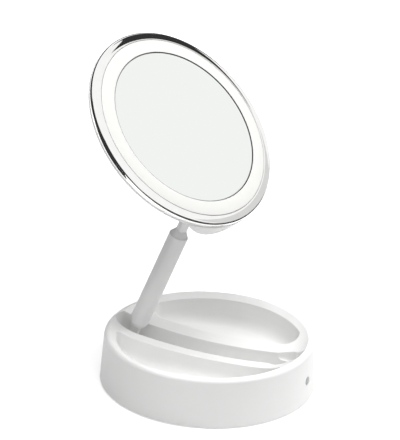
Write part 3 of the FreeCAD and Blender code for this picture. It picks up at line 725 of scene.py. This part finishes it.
@dataclass
class CrossScrew:
    """Pan-head screw with a cross recess, modelled once and copied to each place."""

    head_radius: float = 2.8 * MM
    head_height: float = 1.6 * MM
    shank_radius: float = 1.5 * MM
    length: float = 9.0 * MM
    recess_reach: float = 1.7 * MM
    recess_width: float = 0.55 * MM
    recess_depth: float = 0.9 * MM
    edge: float = 0.35 * MM
    edge_steps: int = 3
    sides: int = 40
    tip_share: float = 0.3
    smooth_angle: float = 35.0

    def model(self) -> bpy.types.Object:
        """Model the screw at the origin, its head's flat top at height 0, shank downwards.

        Returns:
            The screw, with its modifiers applied.
        """
        bpy.ops.object.select_all(action="DESELECT")
        bpy.ops.mesh.primitive_cylinder_add(vertices=self.sides, radius=self.head_radius,
                                            depth=self.head_height,
                                            location=(0, 0, -self.head_height / 2))
        screw = bpy.context.active_object
        bpy.ops.object.transform_apply(location=True)
        bpy.ops.object.mode_set(mode="EDIT")
        bpy.ops.mesh.select_mode(type="FACE")
        self._pull_shank(screw)
        bpy.ops.object.mode_set(mode="OBJECT")
        bevel = screw.modifiers.new("rolled edge", "BEVEL")
        bevel.width = self.edge
        bevel.segments = self.edge_steps
        bevel.limit_method = "ANGLE"
        bpy.ops.object.modifier_apply(modifier=bevel.name)
        self._cut_cross(screw)
        select_only(screw)
        bpy.ops.object.shade_smooth_by_angle(angle=math.radians(self.smooth_angle))
        return screw

    def _pull_shank(self, screw: bpy.types.Object) -> None:
        """Inset the head's underside and pull the shank and its point from it.

        Args:
            screw: the head, in edit mode.
        """
        bpy.ops.mesh.select_all(action="DESELECT")
        bpy.ops.object.mode_set(mode="OBJECT")
        for face in screw.data.polygons:
            face.select = face.normal.z < -0.9
        bpy.ops.object.mode_set(mode="EDIT")
        bpy.ops.mesh.inset(thickness=self.head_radius - self.shank_radius, depth=0.0)
        for drop in (self.length - self.head_height - self.shank_radius, self.shank_radius):
            bpy.ops.mesh.extrude_region_move(TRANSFORM_OT_translate={"value": (0, 0, -drop)})
        bpy.ops.transform.resize(value=(self.tip_share, self.tip_share, 1.0))

    def _cut_cross(self, screw: bpy.types.Object) -> None:
        """Cut the cross recess into the head's top.

        Args:
            screw: the screw, in object mode.
        """
        for turn in (0.0, math.pi / 2):
            bpy.ops.object.select_all(action="DESELECT")
            bpy.ops.mesh.primitive_cube_add(size=1.0, location=(0, 0, 0), rotation=(0, 0, turn))
            blade = bpy.context.active_object
            blade.scale = (2 * self.recess_reach, self.recess_width, 2 * self.recess_depth)
            bpy.ops.object.transform_apply(location=True, rotation=True, scale=True)
            select_only(screw)
            cut = screw.modifiers.new("cross recess", "BOOLEAN")
            cut.operation = "DIFFERENCE"
            cut.solver = "EXACT"
            cut.object = blade
            bpy.ops.object.modifier_apply(modifier=cut.name)
            bpy.data.objects.remove(blade)

    def set_at(self, name: str, places: List[Matrix], body: str, node: str,
               finish: bpy.types.Material) -> None:
        """Model the screw and copy it to its places as one piece that stands for a solid.

        Args:
            name: name of the new piece.
            places: where each screw's head top lies, its axis along +Z.
            body: the body that the screws ride on.
            node: the solid that they stand for.
            finish: their material.
        """
        pattern = self.model()
        copies = []
        for index, place in enumerate(places):
            copy = pattern.copy()
            copy.data = pattern.data.copy()
            copy.data.transform(place)
            copy.name = "%s_%d" % (name, index + 1)
            bpy.context.scene.collection.objects.link(copy)
            copy.data.materials.clear()
            copy.data.materials.append(finish)
            copies.append(copy)
        bpy.data.objects.remove(pattern)
        select_only(copies[0])
        for copy in copies[1:]:
            copy.select_set(True)
        bpy.ops.object.join()
        piece = bpy.context.active_object
        piece.name = name
        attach(piece, body)
        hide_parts(node)
        log.info("set %d screws as %s", len(places), name)


@dataclass
class MirrorPose:
    """Angles of the photographed pose, and the frames of the head that follow from them."""

    arm_angle: float = 68.7
    swivel_angle: float = 27.3
    mirror_angle: float = 42.6
    hinge: Triple = (-67.1, 0.0, 17.65)
    arm_length: float = 126.5
    hub_reach: float = 59.4
    hub_depth: float = 29.05

    def head(self) -> Matrix:
        """Frame of the head: origin in the bezel's front plane, +Z out of the mirror.

        Returns:
            The frame in metres.
        """
        lift = math.radians(self.arm_angle)
        along = Vector((math.cos(lift), 0.0, math.sin(lift)))
        lean = math.radians(self.mirror_angle)
        turn = Quaternion(along, -math.radians(self.swivel_angle))
        front = turn @ Vector((math.cos(lean), 0.0, math.sin(lean)))
        upward = turn @ Vector((-math.sin(lean), 0.0, math.cos(lean)))
        across = front.cross(upward)
        hub = Vector(self.hinge) + along * self.arm_length
        centre = (hub + upward * self.hub_reach + front * self.hub_depth) * MM
        place = Matrix((upward, across, front)).transposed().to_4x4()
        place.translation = centre
        return place


@dataclass
class Finishes:
    """The finishes of the whole mirror, built once and shared by its parts."""

    pose: MirrorPose
    rings: "HeadRings"
    lamp_count: int = 24
    cell_half: float = 21.6 * MM
    made: Dict[str, bpy.types.Material] = field(default_factory=dict)

    def build(self) -> None:
        """Build every material."""
        head = self.pose.head()
        white = (0.95, 0.95, 0.947)
        kinds = [
            MouldedPlastic("white_shell", white, 0.40),
            MouldedPlastic("white_dome", white, 0.40, dome=head),
            MouldedPlastic("white_cover", (0.90, 0.90, 0.895), 0.52, 0.5 * MM, 0.02 * MM),
            MouldedPlastic("white_arm", (0.925, 0.925, 0.925), 0.38),
            MouldedPlastic("button_plastic", (0.70, 0.70, 0.70), 0.40),
            MouldedPlastic("black_plastic", (0.10, 0.10, 0.10), 0.45),
            MouldedPlastic("bearing_plastic", (0.90, 0.89, 0.86), 0.35),
            MouldedPlastic("lamp_potting", (0.95, 0.91, 0.76), 0.20, 0.8 * MM),
            SoftRubber("grey_rubber", (0.46, 0.46, 0.46)),
            TurnedSteel("plain_steel", (0.78, 0.78, 0.79)),
            CircuitBoard("green_board", (0.06, 0.33, 0.18), (0.30, 0.52, 0.30)),
            CircuitBoard("white_board", (0.93, 0.93, 0.91), (0.84, 0.84, 0.82)),
            CellWrap("cell_wrap", (0.24, 0.27, 0.31), (0.72, 0.74, 0.76), (0.80, 0.80, 0.80),
                     self.cell_half),
            # The light ring carries painted shade on its inner wall; the mirror's second colour is
            # its ground edge darkened by painted shade of the gap.
            FrostedLight("frosted_light", (0.835, 0.835, 0.825), 0.05, self.lamp_count, head,
                         self.rings.light_inner),
            SilveredGlass("silvered_glass", (0.945, 0.953, 0.941), (0.62, 0.63, 0.62),
                          self.rings.glass_radius, head),
            BrightPlate("bright_plate", (0.985, 0.985, 0.98), 0.03),
        ]
        for kind in kinds:
            self.made[kind.name] = kind.make()

    def dress(self, dressing: Dict[str, str]) -> None:
        """Give solids their finishes.

        Args:
            dressing: name of the finish of each solid, by the solid's name.
        """
        for node, finish in dressing.items():
            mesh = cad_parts[node].data
            mesh.materials.clear()
            mesh.materials.append(self.made[finish])
            log.info("dressed %s in %s", node, finish)


@dataclass
class BaseAssembly:
    """The round base with its trays, underside, cells and button."""

    finishes: Finishes
    screw: CrossScrew = field(default_factory=CrossScrew)
    dressing: Dict[str, str] = field(default_factory=lambda: {
        "tray_body": "white_shell",
        "base_cover": "white_cover",
        "foot_ring": "grey_rubber",
        "battery_door": "white_cover",
        "cells": "cell_wrap",
        "battery_contacts": "plain_steel",
        "power_button": "button_plastic",
        "tact_switch": "black_plastic",
        "control_board": "green_board",
        "hinge_pin": "plain_steel",
        "hinge_bushes": "bearing_plastic",
        "hinge_washers": "bearing_plastic",
    })

    def build(self) -> None:
        """Dress the base and set the screws of its underside."""
        self.finishes.dress(self.dressing)
        low, high = (Vector(corner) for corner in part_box("cover_screws"))
        inset = self.screw.head_radius
        turn = Matrix.Rotation(math.pi, 4, "X")
        places = []
        for x in (low.x + inset, high.x - inset):
            for y in (low.y + inset, high.y - inset):
                places.append(Matrix.Translation((x, y, low.z)) @ turn)
        self.screw.set_at("cover_cross_screws", places, "base", "cover_screws",
                          self.finishes.made["plain_steel"])


@dataclass
class ArmAssembly:
    """The folding arm with its knuckle, and the swivelling neck on it."""

    finishes: Finishes
    dressing: Dict[str, str] = field(default_factory=lambda: {
        "arm_tube": "white_arm",
        "arm_knuckle": "white_arm",
        "arm_lead": "black_plastic",
        "neck_bush": "bearing_plastic",
        "neck": "white_arm",
        "neck_clip": "plain_steel",
    })

    def build(self) -> None:
        """Dress the arm and the neck."""
        self.finishes.dress(self.dressing)


@dataclass
class HeadRings:
    """Sections of the head's bright bezel, light ring and hollow mirror, in the head's frame."""

    bezel_radius: float = 83.5 * MM
    bezel_inner: float = 81.9 * MM
    bezel_depth: float = 4.2 * MM
    bezel_round: float = 2.0 * MM
    bezel_waist: float = 2.9 * MM
    bezel_taper: float = 0.3 * MM
    bezel_rise: float = 0.7 * MM
    bezel_crown: float = 0.13 * MM
    sheet: float = 1.2 * MM
    lip_radius: float = 76.0 * MM
    lip_round: float = 0.4 * MM
    light_inner: float = 64.55 * MM
    light_outer: float = 75.7 * MM
    light_flange: float = 77.0 * MM
    light_top: float = 1.6 * MM
    light_foot: float = 0.6 * MM
    light_back: float = -1.8 * MM
    light_shelf: float = -0.8 * MM
    light_round: float = 0.3 * MM
    light_crown: float = 0.38 * MM
    glass_radius: float = 64.25 * MM
    glass_rise: float = 1.0 * MM
    glass_hollow: float = 2.0 * MM
    glass_thickness: float = 2.4 * MM
    glass_round: float = 0.25 * MM
    glass_hub: float = 0.15
    glass_steps: int = 24
    roll_steps: int = 12
    bezel_steps: int = 10
    lip_steps: int = 5
    light_edge_steps: int = 4
    light_steps: int = 12

    def bezel(self) -> SpunRing:
        """Bright ring with a rolled outer edge, a tapered side and a slightly crowned front.

        Returns:
            The bezel, not yet modelled.
        """
        outer, rim = self.bezel_radius, self.bezel_round
        hole, top = self.lip_radius, self.bezel_rise
        brow = (outer - rim, 0.0)
        lip = (hole + self.lip_round, top)
        section = [(outer - self.bezel_taper, -self.bezel_depth), (outer, -self.bezel_waist)]
        section += rounded((outer, -rim), (outer, 0.0), brow, self.roll_steps)
        section += bowed(brow, lip, -self.bezel_crown, self.bezel_steps)
        section += rounded(lip, (hole, top), (hole, top - self.lip_round), self.lip_steps)
        section += [(hole, top - self.sheet), (self.bezel_inner, -self.sheet),
                    (self.bezel_inner, -self.bezel_depth)]
        return SpunRing("bright_bezel", "chrome_bezel", "bright_chrome", section)

    def light(self) -> SpunRing:
        """Frosted ring, crowned and highest where it meets the mirror.

        Returns:
            The light ring, not yet modelled.
        """
        inner, top, edge = self.light_inner, self.light_top, self.light_round
        shoulder = (inner + edge, top)
        foot = (self.light_outer, self.light_foot)
        section = [(inner, self.light_back)]
        section += rounded((inner, top - edge), (inner, top), shoulder, self.light_edge_steps)
        section += bowed(shoulder, foot, self.light_crown, self.light_steps)
        section += [foot, (self.light_outer, self.light_shelf),
                    (self.light_flange, self.light_shelf), (self.light_flange, self.light_back)]
        return SpunRing("light_ring", "diffuser_ring", "frosted_light", section)

    def glass(self) -> SpunRing:
        """Hollow mirror with a ground edge, closed at its middle.

        Returns:
            The mirror, not yet modelled.
        """
        ball = (self.glass_radius ** 2 + self.glass_hollow ** 2) / (2 * self.glass_hollow)
        hub = self.glass_radius / self.glass_steps
        radii = [hub * self.glass_hub] + [hub * index for index in range(1, self.glass_steps)]
        radii.append(self.glass_radius - self.glass_round)

        def level(radius: float) -> float:
            """Height of the hollow face at a radius."""
            return self.glass_rise - self.glass_hollow + ball - math.sqrt(ball ** 2 - radius ** 2)

        section = [(radius, level(radius) - self.glass_thickness) for radius in radii]
        edge = self.glass_radius
        section += [(edge, level(edge) - self.glass_thickness + self.glass_round),
                    (edge, level(edge) - self.glass_round)]
        section += [(radius, level(radius)) for radius in reversed(radii)]
        return SpunRing("hollow_mirror", "mirror_glass", "silvered_glass", section, closed=False)


@dataclass
class HeadAssembly:
    """The round head: domed housing, bezel, light ring, mirror and tilt bracket."""

    finishes: Finishes
    pose: MirrorPose
    rings: HeadRings
    screw: CrossScrew = field(default_factory=lambda: CrossScrew(length=8.7 * MM))
    post_reach: float = 48.65 * MM
    screw_top: float = -16.75 * MM
    screw_count: int = 4
    dressing: Dict[str, str] = field(default_factory=lambda: {
        "rear_housing": "white_dome",
        "tilt_bracket": "white_arm",
        "bracket_screws": "plain_steel",
        "tilt_pin": "plain_steel",
        "tilt_washers": "bearing_plastic",
        "mirror_carrier": "white_cover",
        "mirror_pad": "grey_rubber",
        "lamp_board": "white_board",
        "lamps": "lamp_potting",
    })

    def build(self) -> None:
        """Dress the head, spin its rings and set the screws in its domed back."""
        self.finishes.dress(self.dressing)
        head = self.pose.head()
        self.rings.bezel().model(head, "head", self.finishes.made["bright_plate"])
        self.rings.light().model(head, "head", self.finishes.made["frosted_light"])
        self.rings.glass().model(head, "head", self.finishes.made["silvered_glass"])
        turn = Matrix.Rotation(math.pi, 4, "X")
        places = []
        for index in range(self.screw_count):
            angle = math.pi / 4 + 2 * math.pi * index / self.screw_count
            spot = (self.post_reach * math.cos(angle), self.post_reach * math.sin(angle),
                    self.screw_top)
            places.append(head @ Matrix.Translation(spot) @ turn)
        self.screw.set_at("housing_cross_screws", places, "head", "housing_screws",
                          self.finishes.made["plain_steel"])


@dataclass(frozen=True)
class StudioLamp:
    """One soft lamp of the studio, aimed at the mirror."""

    name: str
    place: Triple
    size: float
    power: float
    aim: Triple = (0.0, 0.0, 0.11)

    def hang(self) -> None:
        """Put the square lamp in the scene, out of sight of bright metal."""
        data = bpy.data.lights.new(self.name, "AREA")
        data.shape = "SQUARE"
        data.size = self.size
        data.energy = self.power
        lamp = bpy.data.objects.new(self.name, data)
        lamp.location = self.place
        way = Vector(self.aim) - Vector(self.place)
        lamp.rotation_euler = way.to_track_quat("-Z", "Y").to_euler()
        lamp.visible_glossy = False
        bpy.context.scene.collection.objects.link(lamp)


def hide_from_all_but_reflections(flag: bpy.types.Object, finish: bpy.types.Material) -> None:
    """Dress a flag so that only the mirror and bright metal show it.

    Args:
        flag: the flag.
        finish: the flag's cloth.
    """
    flag.data.materials.append(finish)
    for ray in ("camera", "diffuse", "transmission", "volume_scatter", "shadow"):
        setattr(flag, "visible_" + ray, False)


@dataclass(frozen=True)
class StandFlag:
    """A curved flag round the mirror that only reflections see, set by directions in degrees."""

    name: str
    first_turn: float
    last_turn: float
    low: float
    high: float
    distance: float = 2.2
    height: float = 0.197
    bays: int = 24
    shade: FlagShade = FlagShade.DARK

    def stand(self, finish: bpy.types.Material) -> None:
        """Put the flag in the scene.

        Args:
            finish: the flag's cloth.
        """
        bpy.ops.object.select_all(action="DESELECT")
        bottom = self.height + self.distance * math.tan(math.radians(self.low))
        top = self.height + self.distance * math.tan(math.radians(self.high))
        bpy.ops.mesh.primitive_grid_add(x_subdivisions=self.bays, y_subdivisions=1, size=2.0)
        flag = bpy.context.active_object
        flag.name = self.name
        for vertex in flag.data.vertices:
            share = (vertex.co.x + 1.0) / 2.0
            turn = math.radians(self.first_turn + share * (self.last_turn - self.first_turn))
            level = top if vertex.co.y > 0 else bottom
            vertex.co = (self.distance * math.cos(turn), self.distance * math.sin(turn), level)
        hide_from_all_but_reflections(flag, finish)


@dataclass(frozen=True)
class FloorFlag:
    """A dark sheet on the floor that only reflections see."""

    name: str
    near_corner: Point
    far_corner: Point
    level: float = 1.0 * MM

    def lay(self, finish: bpy.types.Material) -> None:
        """Lay the sheet on the floor.

        Args:
            finish: the flag's cloth.
        """
        bpy.ops.object.select_all(action="DESELECT")
        sides = list(zip(self.near_corner, self.far_corner))
        middle = [(near + far) / 2 for near, far in sides]
        bpy.ops.mesh.primitive_plane_add(size=1.0, location=(*middle, self.level))
        sheet = bpy.context.active_object
        sheet.name = self.name
        sheet.scale = (*(far - near for near, far in sides), 1.0)
        bpy.ops.object.transform_apply(location=True, scale=True)
        hide_from_all_but_reflections(sheet, finish)


@dataclass
class Studio:
    """White sweep, soft lamps, flags for the mirror and the bright metal, and the camera."""

    floor_size: float = 30.0
    floor_level: float = -0.2 * MM
    floor_paper: float = 0.66
    floor_light: float = 0.52
    floor_near: float = 0.30
    floor_far: float = 1.40
    ambient: float = 0.08
    lamps: List[StudioLamp] = field(default_factory=lambda: [
        StudioLamp("over_lamp", (0.45, -0.25, 2.20), 2.4, 55.0),
        StudioLamp("front_lamp", (0.30, -0.60, 2.20), 0.8, 6.5),
        StudioLamp("right_lamp", (1.15, 0.75, 1.15), 0.9, 12.0),
        StudioLamp("left_lamp", (-0.60, -1.40, 0.60), 1.0, 3.4),
        StudioLamp("back_lamp", (0.10, 0.95, 1.60), 1.2, 4.5),
    ])
    flags: List[StandFlag] = field(default_factory=lambda: [
        StandFlag("flag_high", 57.0, 78.0, 27.0, 47.0),
        StandFlag("flag_rear", 78.0, 126.0, -4.0, 34.0),
        StandFlag("flag_left", 126.0, 205.0, -4.0, 46.0),
        StandFlag("flag_front_left", 205.0, 318.0, -4.0, 60.0),
        StandFlag("flag_front", -70.0, 12.0, -4.0, 22.0),
        StandFlag("flag_low_right", 12.0, 52.0, -4.0, 8.0),
        StandFlag("flag_right", 12.0, 56.0, 8.0, 26.5, shade=FlagShade.GREY),
    ])
    floor_flags: List[FloorFlag] = field(default_factory=lambda: [
        FloorFlag("flag_floor_left", (-2.4, -2.4), (-0.20, -0.16)),
        FloorFlag("flag_floor_right", (0.17, -1.6), (2.2, 1.2)),
    ])
    eye: Triple = (543.2, -1371.9, 738.7)
    view: Triple = (0.3395, -0.8574, 0.3867)
    focal_px: float = 2100.1
    frame_px: Tuple[int, int] = (400, 440)
    centre_px: Point = (213.66, 237.20)
    roll: float = -2.67
    clip_end: float = 100.0

    def build(self) -> None:
        """Set up the world, floor, lamps, flags and camera."""
        self._world()
        self._floor()
        for lamp in self.lamps:
            lamp.hang()
        cloths = {shade: self._cloth(shade) for shade in FlagShade}
        for flag in self.flags:
            flag.stand(cloths[flag.shade])
        for sheet in self.floor_flags:
            sheet.lay(cloths[FlagShade.DARK])
        self._camera()
        bpy.context.scene.view_settings.view_transform = "Standard"

    def _cloth(self, shade: FlagShade) -> bpy.types.Material:
        """Plain cloth of a flag.

        Args:
            shade: how light it is.

        Returns:
            The cloth's material.
        """
        material, graph = new_material(shade.name.lower() + "_flag")
        cloth = graph.node("ShaderNodeEmission", None, {"Strength": shade.value})
        graph.node("ShaderNodeOutputMaterial", None, {"Surface": cloth.outputs[0]})
        return material

    def _seen(self, graph: Graph) -> Value:
        """Mask of the rays that see the background: camera, glossy and transmitted ones.

        Args:
            graph: the graph that the mask is for.

        Returns:
            The mask, 0 or 1.
        """
        path = graph.node("ShaderNodeLightPath")
        rays = [Value(graph, path.outputs[name])
                for name in ("Is Camera Ray", "Is Glossy Ray", "Is Transmission Ray")]
        return rays[0].max(rays[1]).max(rays[2])

    def _world(self) -> None:
        """White world for the rays that see it, softer light for the rest."""
        world = bpy.data.worlds.new("white_sweep")
        world.use_nodes = True
        bpy.context.scene.world = world
        graph = Graph(world.node_tree)
        seen = self._seen(graph)
        shade = graph.node("ShaderNodeBackground", None, {
            "Color": WHITE,
            "Strength": seen * (1.0 - self.ambient) + self.ambient,
        })
        graph.node("ShaderNodeOutputWorld", None, {"Surface": shade.outputs[0]})

    def _floor(self) -> None:
        """Pale floor that is white where it is lit or far off, and keeps the mirror's shadow."""
        bpy.ops.object.select_all(action="DESELECT")
        bpy.ops.mesh.primitive_plane_add(size=self.floor_size, location=(0, 0, self.floor_level))
        floor = bpy.context.active_object
        floor.name = "studio_floor"
        material, graph = new_material("pale_floor")
        paper = graph.node("ShaderNodeBsdfDiffuse", None, {"Color": (*[self.floor_paper] * 3, 1.0)})
        x, y, _ = graph.axes()
        far = reach(x, y).step(self.floor_near, self.floor_far)
        light = graph.node("ShaderNodeEmission", None, {
            "Color": graph.blend(far, (*[self.floor_light] * 3, 1.0), WHITE),
            "Strength": self._seen(graph),
        })
        both = graph.node("ShaderNodeAddShader", None, {0: paper.outputs[0], 1: light.outputs[0]})
        graph.node("ShaderNodeOutputMaterial", None, {"Surface": both.outputs[0]})
        floor.data.materials.append(material)

    def _camera(self) -> None:
        """Camera at the photograph's place, re-aimed to the frame's middle."""
        view = Vector(self.view).normalized()
        right = Vector((-view.y, view.x, 0.0)).normalized()
        up = view.cross(right)
        turn = math.radians(self.roll)
        side = right * math.cos(turn) - up * math.sin(turn)
        top = right * math.sin(turn) + up * math.cos(turn)
        off_x = (self.frame_px[0] / 2 - self.centre_px[0]) / self.focal_px
        off_y = (self.centre_px[1] - self.frame_px[1] / 2) / self.focal_px
        aim = (-view + side * off_x + top * off_y).normalized()
        side = (side - aim * side.dot(aim)).normalized()
        top = side.cross(aim)
        data = bpy.data.cameras.new("camera")
        data.sensor_fit = "VERTICAL"
        data.lens = self.focal_px / self.frame_px[1] * data.sensor_height
        data.clip_end = self.clip_end
        camera = bpy.data.objects.new("camera", data)
        place = Matrix((side, top, -aim)).transposed().to_4x4()
        place.translation = Vector(self.eye) * MM
        camera.matrix_world = place
        bpy.context.scene.collection.objects.link(camera)
        bpy.context.scene.camera = camera


def main() -> None:
    """Build the dressed mirror and its studio."""
    logging.basicConfig(level=logging.INFO, format="%(name)s: %(message)s")
    pose = MirrorPose()
    rings = HeadRings()
    finishes = Finishes(pose, rings)
    finishes.build()
    BaseAssembly(finishes).build()
    ArmAssembly(finishes).build()
    HeadAssembly(finishes, pose, rings).build()
    Studio().build()


if __name__ == "__main__":
    main()
